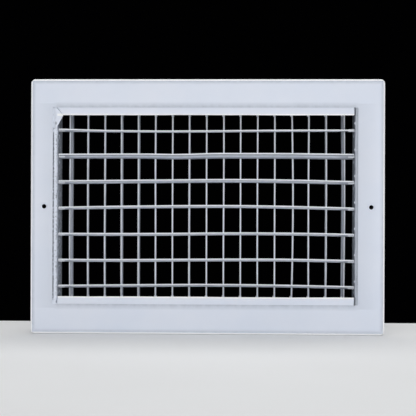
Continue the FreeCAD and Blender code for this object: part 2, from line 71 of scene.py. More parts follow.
# The sheet metal, in millimetres.
SHEET = 0.8
OPENING_WIDTH = 304.0
OPENING_HEIGHT = 197.0
FACE_CORNER = 4.4
FACE_BEND = 1.0
CREASE_INSET = 2.0
CREASE_DEPTH = 0.5
SCREW_SPACING = 327.5
SCREW_HOLE = 2.2            # radius
DIMPLE_RISE = 1.4           # how far the dimple's slope runs out from the hole
DIMPLE_DEPTH = 1.0
HOLE_PATCH = 5.5            # half the side of the square of mesh around a screw hole
BAND_INSET = 5.4            # from the cut-out to the band of mesh that holds the screw holes
FLANGE = 5.5                # how far the rails lap behind the face plate
STRIP_HEIGHT = 7.6          # the part of a level rail seen in the opening
STRIP_GAP = 1.1             # between a strip's end and the side wall
MITRE_RUN = 5.0             # how far the top strip's left end slants
REAR_LIP = 2.6              # the level rails' turned-in rear edge
LEFT_SHIFT = 1.5            # the cut-out's left edge is cut this much further out
LEFT_ROLL = 2.2             # the left rail turns from flange to wall in a wide roll
RIGHT_ROLL = 0.7
FOLD = 0.45                 # outer radius of a fold in the sheet
BUMP_BEHIND = 3.6           # the pressed bump's place behind and below a front pin
BUMP_DROP = 5.6
TOOTH_RISE = 6.6            # the rim tooth's place above a front pin

# The blades, in millimetres: front blades lie level, rear blades stand upright.
PIN = 1.4                   # radius
PIN_PLAY = 0.06
PIN_REACH = 2.6             # how far a pin stands out of the blade's end
PIN_ROOT = 5.0              # how deep it runs into the blade
RIVET_HOLE = 1.55
RIVET_INSET = 3.2           # from the end of the wall
RIB_STOP = 10.0             # the rib ends this far from the blade's end
BLADE_SHEET = 0.7
BLADE_FOLD = 2.6            # depth of the folded front edge
FRONT = {"chord": 17.2, "nose": 1.3, "rib": 1.0, "rib_base": 6.6}
REAR = {"chord": 13.0, "nose": 1.6, "rib": 0.6, "rib_base": 4.6}

# How each blade is bent away from the line between its pins: the rise at its middle, and how much
# more its first half rises than its second. A front blade runs left to right and rises upwards.
FRONT_BENDS = [(-0.8, -0.4), (0.8, -0.2), (1.7, -0.35), (2.25, -0.2),
               (0.8, -0.55), (0.85, -0.5), (1.6, -0.2)]
# A rear blade runs from the bottom up and rises to the left.
REAR_BENDS = [(0.25, 0.1), (0.35, 0), (0.15, 0.1), (0.1, 0), (-0.05, 0), (0.2, -0.1),
              (0.15, 0), (0.1, 0.1), (0, 0), (-0.05, 0.1), (0.1, 0), (0.3, 0),
              (-0.1, 0), (-1.35, 0), (0.25, 0.1), (-0.4, 0), (-0.65, 0)]
TOP_BLADE_TWIST = 4.5       # degrees that the first front blade's left end is twisted
SECOND_BLADE_TWIST = 2.6    # degrees of twist along the second front blade
SECOND_BLADE_LEAN = -1.6    # degrees at that blade's left end
SECOND_BLADE_SAG = 0.9      # a local sag in the second front blade, left of its middle
SAG_PLACE = -27.0
SAG_REACH = 24.0
FRONT_SEED = 40
REAR_SEED = 80


def box_mm(node):
    """The lowest and highest corner of a CAD node at rest, in millimetres."""
    low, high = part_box(node)
    return low / MM, high / MM


PLATE_LOW, PLATE_HIGH = box_mm("face_plate")
FACE = PLATE_LOW.y                                  # the front of the face, in Y
BACK = FACE + SHEET                                 # the back of the face's sheet
WALL_LEFT = box_mm("top_rail")[0].x                 # inner faces of the side walls
WALL_RIGHT = box_mm("top_rail")[1].x
WALL_TOP = box_mm("top_spring_strip")[0].z          # outer faces of the level walls
WALL_BOTTOM = box_mm("bottom_spring_strip")[1].z
REAR_END = box_mm("top_rail")[1].y
CORE = Vector(((WALL_LEFT + WALL_RIGHT) / 2, 0.0, (WALL_TOP + WALL_BOTTOM) / 2))
CORE_HALF = (WALL_RIGHT - WALL_LEFT) / 2
CORE_TALL = (WALL_TOP - WALL_BOTTOM) / 2


# ---------------------------------------------------------------- mesh helpers


def smoothstep(low, high, value):
    share = min(max((value - low) / (high - low), 0.0), 1.0)
    return share * share * (3 - 2 * share)


def spread(low, high, count):
    """Evenly spaced values from low to high, both included."""
    return [low + (high - low) * n / (count - 1) for n in range(count)]


def arc(centre, radius, start, end, steps):
    """Points of an arc in a plane; angles in degrees."""
    angles = [math.radians(a) for a in spread(start, end, steps + 1)]
    return [Vector((centre[0] + radius * math.cos(a), centre[1] + radius * math.sin(a))) for a in angles]


def rounded_outline(corners, steps=4):
    """A closed outline from (across, up, radius) corners, each rounded to its radius."""
    count = len(corners)
    points = []
    for n, (across, up, radius) in enumerate(corners):
        here = Vector((across, up))
        before = (Vector(corners[n - 1][:2]) - here).normalized()
        after = (Vector(corners[(n + 1) % count][:2]) - here).normalized()
        if radius <= 0:
            points.append(here)
            continue
        half = before.angle(after) / 2
        reach = radius / math.tan(half)
        start, end = here + before * reach, here + after * reach
        centre = here + (before + after).normalized() * (radius / math.sin(half))
        for k in range(steps + 1):
            swing = (start - centre).lerp(end - centre, k / steps).normalized()
            points.append(centre + swing * radius)
    return points


def split_long(points, longest):
    """Add points along the straight runs of a closed outline so that none is longer than given."""
    dense = []
    for here, after in zip(points, points[1:] + points[:1]):
        pieces = max(1, math.ceil((after - here).length / longest))
        dense += [here.lerp(after, k / pieces) for k in range(pieces)]
    return dense


class Shape:
    """Vertices and faces of one piece, in millimetres."""

    def __init__(self):
        self.bm = bmesh.new()
        self.mark = self.bm.verts.layers.float.new("across")

    def ring(self, points, marks=()):
        """A loop of vertices; a mark on each tells a material how far across the section it is."""
        ring = [self.bm.verts.new(point) for point in points]
        for vert, mark in zip(ring, marks):
            vert[self.mark] = mark
        return ring

    def bridge(self, first, second, skip=()):
        """Faces between two rings, except at the skipped places."""
        count = len(first)
        for n in range(count):
            if n in skip:
                continue
            after = (n + 1) % count
            self.bm.faces.new((first[n], first[after], second[after], second[n]))

    def loft(self, loops, marks=()):
        """A closed body through loops of points, with flat ends."""
        rings = [self.ring(loop, marks) for loop in loops]
        for first, second in zip(rings, rings[1:]):
            self.bridge(first, second)
        self.bm.faces.new(rings[0])
        self.bm.faces.new(rings[-1])

    def turned(self, profile, place):
        """A body of revolution about local Z from (radius, height) pairs, put in place by a matrix."""
        steps = 20
        loops = []
        for radius, height in profile:
            loops.append([place @ Vector((radius * math.cos(2 * math.pi * n / steps),
                                          radius * math.sin(2 * math.pi * n / steps), height))
                          for n in range(steps)])
        self.loft(loops)

    def slab(self, outline, place, thickness, edge):
        """A flat prism from a convex outline in local XY, its front edge softened."""
        middle = sum(outline, Vector((0, 0))) / len(outline)
        inner = [point + (middle - point).normalized() * edge for point in outline]
        levels = [(inner, 0.0), (outline, edge), (outline, thickness)]
        self.loft([[place @ Vector((p.x, p.y, height)) for p in points] for points, height in levels])

    def to_metres(self):
        """Turn the faces outwards and scale to metres, ready for a mesh."""
        bmesh.ops.recalc_face_normals(self.bm, faces=self.bm.faces)
        bmesh.ops.scale(self.bm, vec=(MM, MM, MM), verts=self.bm.verts)

    def drawn(self, name):
        """The shape as a Blender object in the scene; the shape itself is used up."""
        self.to_metres()
        mesh = bpy.data.meshes.new(name)
        self.bm.to_mesh(mesh)
        self.bm.free()
        piece = bpy.data.objects.new(name, mesh)
        bpy.context.scene.collection.objects.link(piece)
        return piece

    def to_object(self, name, body, material, replaces, cutters=None, added=None):
        """Make the Blender object, cut its holes, join what is added to it, attach it to its body and hide
        the CAD nodes it replaces.
        """
        piece = self.drawn(name)
        if cutters is not None:
            cut_holes(piece, cutters)
        if added is not None:
            join_shape(piece, added)
        piece.data.materials.clear()
        piece.data.materials.append(material)
        piece.data.shade_smooth()
        piece.data.set_sharp_from_angle(angle=math.radians(38))
        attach(piece, body)
        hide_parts(*replaces)


def cut_holes(piece, cutters):
    """Cut the bodies of another shape out of a piece."""
    tool = cutters.drawn("cutters")
    cut = piece.modifiers.new("holes", "BOOLEAN")
    cut.operation = "DIFFERENCE"
    cut.solver = "EXACT"
    cut.object = tool
    drawn = bpy.data.meshes.new_from_object(piece.evaluated_get(bpy.context.evaluated_depsgraph_get()))
    piece.modifiers.clear()
    piece.data = drawn
    bpy.data.objects.remove(tool)


def join_shape(piece, added):
    """Join the bodies of another shape to a piece."""
    added.to_metres()
    added.bm.from_mesh(piece.data)
    added.bm.to_mesh(piece.data)
    added.bm.free()


# ---------------------------------------------------------------- the face plate

PLATE_RUN = 4               # mesh divisions on each side of a corner's arc
PLATE_ARC = 8               # and along the arc itself
PATCH_STEPS = 8             # along each side of the square of mesh around a screw hole
CORNER_CLEAR = 2.0          # the shared stations stop this far from the cut-out's corners


def corner_points(begin, end, centre, radius, first_angle):
    """The points of a ring between the last station of one side and the first of the next."""
    bend = arc(centre, radius, first_angle, first_angle + 90, PLATE_ARC)
    lead_in = [begin.lerp(bend[0], k / PLATE_RUN) for k in range(1, PLATE_RUN)]
    lead_out = [bend[-1].lerp(end, k / PLATE_RUN) for k in range(1, PLATE_RUN)]
    return lead_in + bend + lead_out


def plate_ring(left, right, low, high, radius, columns, rows):
    """A rounded rectangle from the low end of its right side round to its bottom side."""
    sides = [[Vector((right, z)) for z in rows],
             [Vector((x, high)) for x in reversed(columns)],
             [Vector((left, z)) for z in reversed(rows)],
             [Vector((x, low)) for x in columns]]
    centres = [(right - radius, high - radius), (left + radius, high - radius),
               (left + radius, low + radius), (right - radius, low + radius)]
    points = []
    for n, side in enumerate(sides):
        points += side
        points += corner_points(side[-1], sides[(n + 1) % 4][0], centres[n], radius, 90 * n)
    return points


def plate_stations():
    """Shared stations along the sides of the plate's rings, with fine ones beside the screw holes."""
    low = CORE.z - OPENING_HEIGHT / 2 + CORNER_CLEAR
    high = CORE.z + OPENING_HEIGHT / 2 - CORNER_CLEAR
    patch = spread(-HOLE_PATCH, HOLE_PATCH, PATCH_STEPS + 1)
    rows = spread(low, -HOLE_PATCH, 14)[:-1] + patch + spread(HOLE_PATCH, high, 14)[1:]
    half = OPENING_WIDTH / 2 - CORNER_CLEAR
    columns = spread(CORE.x - half, CORE.x + half, 45)
    return columns, rows


def outer_ring(inset, columns, rows):
    radius = max(FACE_CORNER - inset, 0.6)
    return plate_ring(PLATE_LOW.x + inset, PLATE_HIGH.x - inset, PLATE_LOW.z + inset,
                      PLATE_HIGH.z - inset, radius, columns, rows)


def opening_ring(offset, columns, rows):
    """A ring this far outside the cut-out."""
    return plate_ring(CORE.x - OPENING_WIDTH / 2 - LEFT_SHIFT - offset, CORE.x + OPENING_WIDTH / 2 + offset,
                      CORE.z - OPENING_HEIGHT / 2 - offset, CORE.z + OPENING_HEIGHT / 2 + offset,
                      0.8 + offset / 2, columns, rows)


def edge_dip(point, offset):
    """How far the face rolls back towards its cut edge: deeper below the opening than above it."""
    fall = (1 - min(offset / 5.5, 1.0)) ** 2
    below = smoothstep(CORE.z + 40, CORE.z - OPENING_HEIGHT / 2, point.y)
    level_side = abs(point.y - CORE.z) > OPENING_HEIGHT / 2 - CORNER_CLEAR
    depth = 0.3 + 0.2 * below if level_side else 0.12
    ripple = 0.04 * math.sin(point.x / 9.0) + 0.03 * math.sin(point.x / 4.1 + 1.0)
    return (depth + ripple) * fall


def sheet_unevenness(point):
    """The face is a large thin sheet, so it is never quite flat."""
    return (0.05 * math.sin(point.x / 47.0 + 0.6) * math.sin(point.y / 39.0)
            + 0.03 * math.sin(point.x / 21.0) * math.cos(point.y / 17.0 + 0.4))


def build_face_plate(material):
    columns, rows = plate_stations()
    shape = Shape()
    rim = [(0.15, 0.0), (0.0, -0.15), (0.0, FACE + FACE_BEND)]
    bend = [(FACE_BEND * (1 - math.cos(a)), FACE + FACE_BEND * (1 - math.sin(a)))
            for a in (math.radians(15 * k) for k in range(1, 7))]
    crease_steps = ((-0.65, 0.0), (-0.45, 0.2), (-0.2, 0.8), (0.0, 1.0),
                    (0.4, 0.85), (1.1, 0.5), (2.1, 0.15), (3.2, 0.0))
    crease = [(CREASE_INSET + step, FACE + share * CREASE_DEPTH) for step, share in crease_steps]
    patch_outer = (PLATE_LOW.x + PLATE_HIGH.x) / 2 + SCREW_SPACING / 2 + HOLE_PATCH
    patch_inner = patch_outer - 2 * HOLE_PATCH
    inset = PLATE_HIGH.x - patch_outer

    def between(share):
        """A ring in the band that holds the screw holes."""
        outer = plate_ring(-patch_outer, patch_outer, PLATE_LOW.z + inset, PLATE_HIGH.z - inset,
                           0.6, columns, rows)
        low = CORE.z - OPENING_HEIGHT / 2 - BAND_INSET
        high = CORE.z + OPENING_HEIGHT / 2 + BAND_INSET
        inner = plate_ring(-patch_inner, patch_inner, low, high, 0.6, columns, rows)
        return [first.lerp(second, share) for first, second in zip(outer, inner)]

    def lift(points, depth, soft=1.0):
        return shape.ring([Vector((p.x, depth + soft * sheet_unevenness(p), p.y)) for p in points])

    front = [lift(outer_ring(i, columns, rows), y, 0.0) for i, y in rim + bend]
    front += [lift(outer_ring(i, columns, rows), y, smoothstep(0, 4, i)) for i, y in crease]
    band = len(front)
    front += [lift(between(k / PATCH_STEPS), FACE) for k in range(PATCH_STEPS + 1)]
    for offset in (4.2, 3.3, 2.5, 1.8, 1.2, 0.7, 0.3, 0.08):
        points = opening_ring(offset, columns, rows)
        front.append(shape.ring([Vector((p.x, FACE + sheet_unevenness(p) + edge_dip(p, offset), p.y))
                                 for p in points]))
    points = opening_ring(0.0, columns, rows)
    front.append(shape.ring([Vector((p.x, FACE + sheet_unevenness(p) + edge_dip(p, 0) + 0.08, p.y))
                             for p in points]))
    back = [lift(points, BACK - 0.06, 0.0)]
    back += [lift(opening_ring(offset, columns, rows), BACK, 0.0) for offset in (0.1, 2.0)]
    back_band = len(back)
    back += [lift(between(1 - k / PATCH_STEPS), BACK, 0.0) for k in range(PATCH_STEPS + 1)]
    rim_inside = [(3.2, BACK), (SHEET + 0.3, BACK), (SHEET, BACK + 0.3), (SHEET, -0.1), (SHEET - 0.1, 0.0)]
    back += [lift(outer_ring(i, columns, rows), y, 0.0) for i, y in rim_inside]

    corner = 2 * (PLATE_RUN - 1) + PLATE_ARC + 1
    right_start = rows.index(-HOLE_PATCH)
    left_start = 2 * len(rows) + 2 * corner + len(columns) - 1 - right_start - PATCH_STEPS
    gaps = [start + k for start in (right_start, left_start) for k in range(PATCH_STEPS)]
    for strips, first_band in ((front, band), (back, back_band)):
        for n in range(len(strips) - 1):
            inside = first_band <= n < first_band + PATCH_STEPS
            shape.bridge(strips[n], strips[n + 1], skip=gaps if inside else ())
    shape.bridge(front[-1], back[0])
    shape.bridge(back[-1], front[0])

    def square(strips, start, outermost, innermost):
        """The edge vertices of the square gap around a screw hole."""
        step = 1 if innermost > outermost else -1
        end = start + PATCH_STEPS
        ring = [strips[outermost][start + k] for k in range(PATCH_STEPS + 1)]
        ring += [strips[outermost + step * k][end] for k in range(1, PATCH_STEPS + 1)]
        ring += [strips[innermost][end - k] for k in range(1, PATCH_STEPS + 1)]
        ring += [strips[innermost - step * k][start] for k in range(1, PATCH_STEPS)]
        return ring

    brim = SCREW_HOLE + DIMPLE_RISE
    seat, underside = FACE + DIMPLE_DEPTH, BACK + DIMPLE_DEPTH
    dimple = [(brim + 0.8, FACE), (brim + 0.25, FACE + 0.03), (brim - 0.15, FACE + 0.2),
              (SCREW_HOLE + 0.2, seat - 0.15), (SCREW_HOLE, seat + 0.05), (SCREW_HOLE, underside - 0.1),
              (SCREW_HOLE + 0.1, underside), (SCREW_HOLE + SHEET, underside),
              (SCREW_HOLE + SHEET + DIMPLE_RISE, BACK + 0.05),
              (SCREW_HOLE + SHEET + DIMPLE_RISE + 0.3, BACK)]
    for side, start in ((1, right_start), (-1, left_start)):
        centre = Vector((side * SCREW_SPACING / 2, 0, 0))
        mouth = square(front, start, band, band + PATCH_STEPS)
        angles = [math.atan2(v.co.z, v.co.x - centre.x) for v in mouth]
        rings = [mouth]
        for radius, depth in dimple:
            rings.append(shape.ring([Vector((centre.x + radius * math.cos(a), depth, radius * math.sin(a)))
                                     for a in angles]))
        rings.append(square(back, start, back_band + PATCH_STEPS, back_band))
        for first, second in zip(rings, rings[1:]):
            shape.bridge(first, second)
    shape.to_object("face_plate_sheet", "frame", material, ["face_plate"])


# ---------------------------------------------------------------- the core


def rail_waves(x, seed):
    """The slight wander of a hand-folded edge."""
    return (0.16 * math.sin(x / 31.0 + seed) + 0.08 * math.sin(x / 11.0 + 2.1 * seed)
            + 0.04 * math.sin(x / 5.3 + 3.7 * seed))


def level_rail_section():
    """Outline of the top rail, as (depth, height) from the core's middle; the bottom one mirrors it."""
    tall = CORE_TALL
    opening = OPENING_HEIGHT / 2
    corners = [(BACK, opening + FLANGE, 0.1), (BACK, opening - STRIP_HEIGHT, FOLD),
               (BACK + 2 * SHEET, opening - STRIP_HEIGHT, FOLD), (BACK + 2 * SHEET, tall - SHEET, 0.4),
               (REAR_END - SHEET, tall - SHEET, 0.4), (REAR_END - SHEET, tall - SHEET - REAR_LIP, 0.2),
               (REAR_END, tall - SHEET - REAR_LIP, 0.2), (REAR_END, tall, 1.0),
               (BACK + SHEET, tall, 0.2), (BACK + SHEET, opening + FLANGE, 0.1)]
    return split_long(rounded_outline(corners), 2.0)


def build_level_rail(label, side, material):
    shape = Shape()
    section = level_rail_section()
    slant = MITRE_RUN if side > 0 else 0.0
    strip_edge = OPENING_HEIGHT / 2 - STRIP_HEIGHT

    def limits(point):
        """Where the sheet ends to left and right at this point of the section."""
        if point.x > REAR_END - 1.5 * SHEET and point.y < CORE_TALL - SHEET - 0.2:
            return -CORE_HALF + REAR_LIP + 0.2, CORE_HALF - REAR_LIP - 0.2
        if point.x > BACK + 2 * SHEET - 0.05:
            return -CORE_HALF, CORE_HALF
        rise = min(max((point.y - strip_edge) / STRIP_HEIGHT, 0.0), 1.0)
        left = -CORE_HALF + STRIP_GAP * (1 - 0.75 * rise) + slant * (1 - rise)
        return left, CORE_HALF - STRIP_GAP

    def place(point, share):
        low, high = limits(point)
        x = low + (high - low) * share
        depth, height = point.x, point.y
        near_edge = 1 - smoothstep(strip_edge + 1, strip_edge + STRIP_HEIGHT, height)
        on_strip = 1 - smoothstep(BACK + 1.5 * SHEET, BACK + 3 * SHEET, depth)
        wander = rail_waves(x, 0.7 + side) * near_edge * on_strip
        height += 0.8 * wander
        depth -= 0.35 * abs(wander)
        return CORE + Vector((x, depth, side * height))

    shares = spread(0, 1, 75)
    shape.loft([[place(point, share) for point in section] for share in shares])
    tabs = Shape()
    for end in (-1, 1):
        add_end_tab(tabs, side, end)
    holes = Shape()
    first, last = pivot_of("rear_blade_01"), pivot_of(f"rear_blade_{len(REAR_BENDS)}")
    half_row = (len(REAR_BENDS) - 1) / 2
    pitch = (last.x - first.x) / (2 * half_row)
    for n in range(len(REAR_BENDS)):
        across = (n - half_row) * pitch
        drill_hole(holes, CORE + Vector((across, first.y, side * CORE_TALL)), "Z", PIN + PIN_PLAY)
    for end in (-1, 1):
        across = end * (CORE_HALF - RIVET_INSET)
        drill_hole(holes, CORE + Vector((across, first.y, side * CORE_TALL)), "Z", RIVET_HOLE)
    shape.to_object(label + "_sheet", "frame", material, [label], holes, tabs)


def add_end_tab(shape, side, end):
    """A tab bent down from the end of a level rail's wall, flat against the side rail."""
    middle = pivot_of("front_blade_1").y
    half_width, drop = 6.0, 6.0
    near, far = middle - half_width, middle + half_width
    low = side * (CORE_TALL - SHEET - drop)
    high = side * (CORE_TALL - SHEET / 2)
    outline = rounded_outline([(near, low, 1.2), (far, low, 1.2), (far, high, 0.2), (near, high, 0.2)])
    inner = end * (CORE_HALF - SHEET)
    place = Matrix(((0, 0, end, CORE.x + inner), (1, 0, 0, 0), (0, 1, 0, CORE.z), (0, 0, 0, 1)))
    shape.slab(outline, place, SHEET, 0.15)


def drill_hole(holes, centre, axis, radius):
    """A cutter right through a wall at the centre, along the named axis."""
    turn = Matrix.Rotation(math.radians(90), 4, "Y") if axis == "X" else Matrix.Identity(4)
    reach = 1.6
    holes.turned([(radius, -reach), (radius, reach)], Matrix.Translation(centre) @ turn)


def side_rail_section(roll):
    """Outline of a side rail, as (distance from the core's middle, depth)."""
    inner = CORE_HALF
    outer = CORE_HALF + SHEET
    lap = OPENING_WIDTH / 2 + FLANGE
    corners = [(inner, BACK, roll), (lap, BACK, 0.1), (lap, BACK + SHEET, 0.1),
               (outer, BACK + SHEET, max(roll - SHEET, 0.1)),
               (outer, REAR_END, 0.2), (inner, REAR_END, 0.2)]
    return split_long(rounded_outline(corners, 6), 0.6)


def seam_depth(side, across, height):
    """How far the flange sinks beside the plate's cut edge, which leaves a dark seam."""
    inside = smoothstep(-97, -92, height)
    if side < 0:
        groove = smoothstep(CORE_HALF + LEFT_ROLL + 0.9, CORE_HALF + LEFT_ROLL + 1.5, across)
        return 1.1 * groove * smoothstep(84, 66, height) * inside
    lower = smoothstep(10, -30, height)
    depth = 0.22 + 0.12 * math.sin(height / 7.0) + 0.35 * lower * max(math.sin(height / 4.3), 0.0)
    return depth * smoothstep(CORE_HALF + 0.5, CORE_HALF + 2.0, across) * inside


def build_side_rail(label, side, material):
    shape = Shape()
    roll = LEFT_ROLL if side < 0 else RIGHT_ROLL
    section = side_rail_section(roll)

    def place(point, height):
        across, depth = point.x, point.y
        if across > CORE_HALF - 0.1 and depth < BACK + roll + 0.2:
            sunk = seam_depth(side, across, height)
            depth += sunk if depth < BACK + SHEET / 2 else sunk * 0.6
            rim = 0.16 * math.sin(height / 6.3 + side) + 0.12 * math.sin(height / 2.9 + 2 * side)
            across += rim * (1 - smoothstep(CORE_HALF + roll, CORE_HALF + roll + 1.0, across))
        return CORE + Vector((side * across, depth, height))

    heights = spread(-CORE_TALL, CORE_TALL, 130)
    shape.loft([[place(point, height) for point in section] for height in heights])
    added = Shape()
    for end in (-1, 1):
        add_flange_end(added, side, end)
    pivots = [pivot_of(f"front_blade_{n}") for n in range(1, len(FRONT_BENDS) + 1)]
    wall = CORE.x + side * CORE_HALF
    for pivot in pivots:
        add_stop_bump(added, side, Vector((wall, pivot.y + BUMP_BEHIND, pivot.z - BUMP_DROP)))
        rim_place = wall + side * (roll - RIGHT_ROLL)
        add_rim_tooth(added, side, Vector((rim_place, BACK, pivot.z + TOOTH_RISE)))
    if side < 0:
        add_corner_ear(added)
    holes = Shape()
    middle = wall + side * SHEET / 2
    for pivot in pivots:
        drill_hole(holes, Vector((middle, pivot.y, pivot.z)), "X", PIN + PIN_PLAY)
    for end in (-1, 1):
        height = CORE.z + end * (CORE_TALL - RIVET_INSET)
        drill_hole(holes, Vector((middle, pivots[0].y, height)), "X", RIVET_HOLE)
    shape.to_object(label + "_sheet", "frame", material, [label], holes, added)


def add_flange_end(shape, side, end):
    """The flange reaches further than the wall, behind the corner of the cut-out."""
    low, high = CORE_TALL - 0.6, OPENING_HEIGHT / 2 + FLANGE
    near, far = CORE_HALF, OPENING_WIDTH / 2 + FLANGE
    outline = rounded_outline([(side * near, end * low, 0.1), (side * far, end * low, 0.1),
                               (side * far, end * high, 0.8), (side * near, end * high, 0.8)])
    place = Matrix(((1, 0, 0, CORE.x), (0, 0, 1, BACK), (0, 1, 0, CORE.z), (0, 0, 0, 1)))
    shape.slab(outline, place, SHEET, 0.1)


def add_stop_bump(shape, side, centre):
    """A round bump pressed inwards below a front pin."""
    inwards = Matrix.Rotation(math.radians(-90 * side), 4, "Y")
    profile = [(2.1, -0.3), (2.1, 0.0), (1.9, 0.12), (1.6, 0.42), (1.2, 0.68), (0.7, 0.82), (0.2, 0.87)]
    shape.turned(profile, Matrix.Translation(centre) @ inwards)


def add_rim_tooth(shape, side, centre):
    """A small lanced tooth on the rim of the wall above a front pin."""
    corners = ((0.4, -2.0), (0.4, 2.0), (-0.6, 0.9), (-1.0, 0.4), (-1.0, -0.4), (-0.6, -0.9))
    outline = [Vector(corner) for corner in corners]
    place = Matrix(((side, 0, 0, centre.x), (0, 0, 1, centre.y), (0, 1, 0, centre.z), (0, 0, 0, 1)))
    shape.slab(outline, place, SHEET, 0.2)


def add_corner_ear(shape):
    """The left rail's flange widens to meet the slanted end of the top strip."""
    top = CORE_TALL - SHEET - 0.1
    tip = -CORE_HALF + MITRE_RUN + STRIP_GAP - 0.4
    strip_edge = OPENING_HEIGHT / 2 - STRIP_HEIGHT
    left = -CORE_HALF - LEFT_ROLL - 0.4
    foot = strip_edge - 14.0
    outline = rounded_outline([(left, foot, 0.1), (left + 1.2, foot, 0.1),
                               (tip, strip_edge - SHEET, 0.3), (tip, strip_edge, 0.3),
                               (-CORE_HALF + 0.1, top, 0.3), (left, top, 0.1)])
    place = Matrix(((1, 0, 0, CORE.x), (0, 0, 1, BACK), (0, 1, 0, CORE.z), (0, 0, 0, 1)))
    shape.slab(outline, place, SHEET, 0.2)


# ---------------------------------------------------------------- the blades


def joint_of(body):
    return next(joint for joint in frame["joints"] if joint["child"] == body)


def rest_turn(body):
    """A blade's stand at rest, in radians: the middle of its joint's range is straight."""
    low, high = joint_of(body)["range_deg"]
    return -math.radians((low + high) / 2)


def blade_section(sizes, pressed):
    """Outline of a blade as (chord, thickness), its rib pressed down by a share from 0 to 1."""
    half = sizes["chord"] / 2
    top, under = BLADE_SHEET / 2, -BLADE_SHEET / 2
    nose = top - sizes["nose"]
    reach = sizes["rib_base"] / 2

    def press(across):
        share = min(abs(across) / reach, 1.0)
        return pressed * sizes["rib"] * (0.5 + 0.5 * math.cos(math.pi * share)) ** 0.75

    stations = [-0.75 * half, -0.6 * half, -0.5 * half]
    stations += spread(-reach, reach, 11) + [0.6 * half, 0.8 * half]
    round_nose = sizes["nose"] / 2
    nose_centre = (-half + round_nose, top - round_nose)
    points = arc(nose_centre, round_nose, 180, 90, 4)
    points += [Vector((y, top - 0.8 * press(y))) for y in stations]
    points += arc((half - top, 0), top, 90, -90, 4)
    points += [Vector((y, under - press(y))) for y in reversed(stations)]
    step = -half + BLADE_FOLD
    points = [p for p in points if not (p.y <= under + 1e-6 and p.x < step + 0.5)]
    points += [Vector((step + 0.25, under)), Vector((step + 0.06, under - 0.08)),
               Vector((step, under - 0.25)), Vector((step - 0.1, nose + 0.1)), Vector((step - 0.3, nose))]
    points += arc(nose_centre, round_nose, 270, 190, 4)
    return points


def build_blade(body, sizes, length, place, bend, shape_at, chance, material):
    """One blade along local X: bent, faintly rippled, and raised and twisted as shape_at(x) says."""
    shape = Shape()
    half = length / 2
    ripple = [(chance.uniform(0.01, 0.05), chance.uniform(14, 40), chance.uniform(0, 6)) for _ in range(3)]
    turn_ripple = (chance.uniform(0.1, 0.3), chance.uniform(25, 60), chance.uniform(0, 6))

    def station(x):
        along = math.pi * (x / half + 1) / 2
        held = math.sin(along)
        extra_rise, twist = shape_at(x)
        rise = extra_rise + bend[0] * held + bend[1] * math.sin(2 * along)
        rise += held * sum(size * math.sin(x / wave + phase) for size, wave, phase in ripple)
        turn = twist + math.radians(turn_ripple[0]) * math.sin(x / turn_ripple[1] + turn_ripple[2]) * held
        points = []
        for p in blade_section(sizes, smoothstep(half - RIB_STOP, half - 1.5 * RIB_STOP, abs(x))):
            across = p.x * math.cos(turn) + p.y * math.sin(turn)
            up = -p.x * math.sin(turn) + p.y * math.cos(turn)
            points.append(place @ Vector((x, across, up + rise)))
        return points

    inside = spread(-half + 1.5, half - 1.5, int(length / 4))
    stations = [-half, -half + 0.15] + inside + [half - 0.15, half]
    marks = [p.x / sizes["chord"] + 0.5 for p in blade_section(sizes, 1.0)]
    shape.loft([station(x) for x in stations], marks)
    for side in (-1, 1):
        tip = side * (half + PIN_REACH)
        root = side * (half - PIN_ROOT)
        turn = Matrix.Rotation(math.radians(90 * side), 4, "Y")
        reach = abs(tip - root)
        profile = [(0.3, -0.5), (1.1, -0.2), (PIN, 0.4), (PIN, reach - 0.2), (PIN - 0.2, reach)]
        shape.turned(profile, place @ Matrix.Translation((root, 0, 0)) @ turn)
    shape.to_object(body + "_vane", body, material, [body])


def pivot_of(body):
    return Vector(joint_of(body)["pos_m"]) / MM


def build_front_blades(material):
    low, high = box_mm("front_blade_1")
    length = high.x - low.x - 2 * PIN_REACH
    for n, bend in enumerate(FRONT_BENDS, 1):
        body = f"front_blade_{n}"
        place = Matrix.Translation(pivot_of(body)) @ Matrix.Rotation(rest_turn(body), 4, "X")
        shape_at = {1: top_blade_shape, 2: second_blade_shape}.get(n, plain_shape)
        chance = random.Random(FRONT_SEED + n)
        build_blade(body, FRONT, length, place, bend, shape_at, chance, material)


def top_blade_shape(x):
    """The top blade's rear edge is bent down at its left end."""
    return 0.0, math.radians(TOP_BLADE_TWIST) * smoothstep(-85, -146, x)


def second_blade_shape(x):
    """The second blade sags left of its middle and is twisted along its length."""
    sag = -SECOND_BLADE_SAG * math.exp(-((x - SAG_PLACE) / SAG_REACH) ** 2)
    return sag, math.radians(SECOND_BLADE_TWIST * smoothstep(-110, 40, x) + SECOND_BLADE_LEAN)


def plain_shape(x):
    """No rise or twist of its own anywhere along the blade."""
    return 0.0, 0.0


def build_rear_blades(material):
    low, high = box_mm("rear_blade_01")
    length = high.z - low.z - 2 * PIN_REACH
    upright = Matrix.Rotation(math.radians(-90), 4, "Y")
    for n, bend in enumerate(REAR_BENDS, 1):
        body = f"rear_blade_{n:02d}"
        place = Matrix.Translation(pivot_of(body)) @ Matrix.Rotation(rest_turn(body), 4, "Z") @ upright
        chance = random.Random(REAR_SEED + n)
        build_blade(body, REAR, length, place, bend, plain_shape, chance, material)


# ---------------------------------------------------------------- materials
# Distances in the paint are in metres, as the nodes see them.


